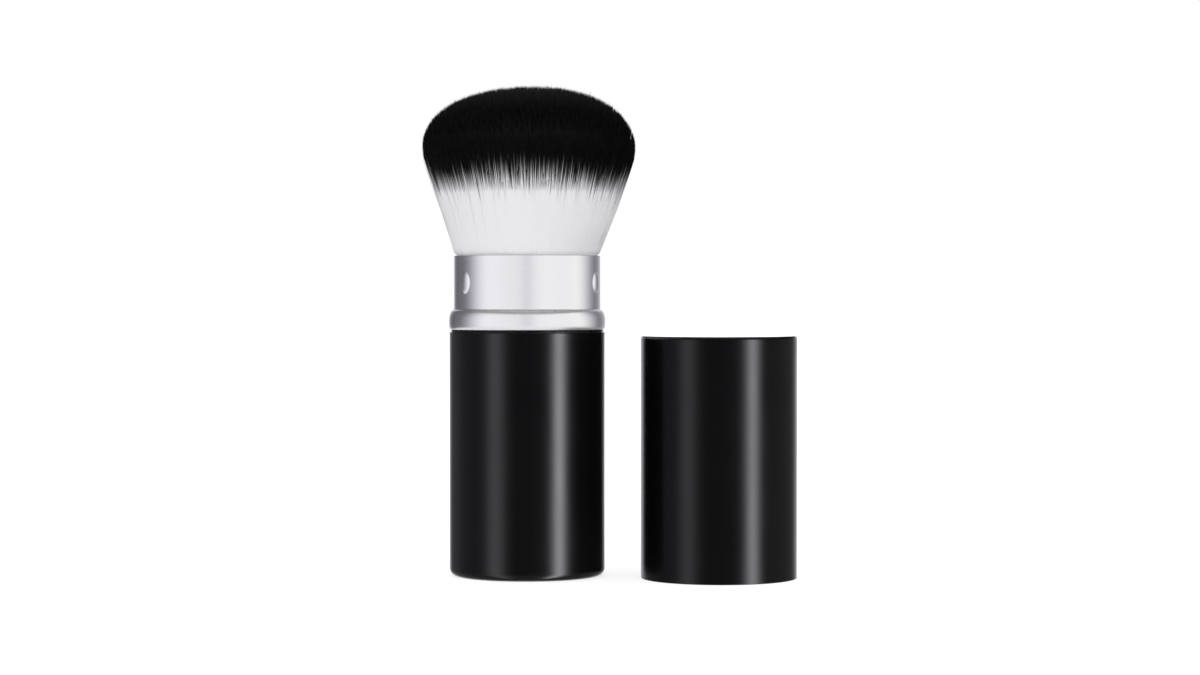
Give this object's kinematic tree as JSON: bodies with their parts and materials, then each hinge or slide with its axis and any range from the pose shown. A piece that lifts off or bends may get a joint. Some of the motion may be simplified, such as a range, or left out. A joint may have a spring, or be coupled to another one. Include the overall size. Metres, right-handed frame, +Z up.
{
  "type": "retractable makeup brush",
  "caption": "Free-standing powder brush: domed dark-tipped hair in a sliding bright collar with a finger bead, on a plain round black barrel, with its loose round cap stood beside it.",
  "frame": {"origin": "centre of the barrel's flat underside", "axes": "+Z up the brush's axis towards the hair, +X towards the side where the cap stands, -Y towards the viewer of the picture"},
  "size_m": [0.0769, 0.0433, 0.1011],
  "materials": {
    "barrel": "gloss black lacquer on drawn aluminium",
    "mouth_bush": "moulded black",
    "post": "moulded off-white",
    "weight_slug": "plain turned steel",
    "hair_cup": "plain drawn aluminium",
    "resin_plug": "cast resin",
    "bristles": "soft synthetic fibre, off-white at the root and dyed black at the tip",
    "sleeve": "satin silver",
    "guide_ring": "moulded off-white",
    "friction_ring": "soft dark grey",
    "cap": "gloss black lacquer on drawn aluminium"
  },
  "bodies": {
    "handle": {"barrel": "barrel", "mouth_bush": "mouth_bush", "post": "post", "weight_slug": "weight_slug", "hair_cup": "hair_cup", "resin_plug": "resin_plug", "bristles": "bristles"},
    "sleeve": {"sleeve": "sleeve", "guide_ring": "guide_ring", "friction_ring": "friction_ring"},
    "cap": {"cap": "cap"}
  },
  "joints": [
    {"name": "sleeve_slide", "type": "slide", "parent": "handle", "child": "sleeve", "axis": [0, 0, 1], "range_m": [0, 0.035], "deforming": ["bristles"]},
    {"name": "cap_lift", "type": "slide", "parent": "handle", "child": "cap", "axis": [0, 0, 1], "range_m": [0, 0.105]}
  ]
}
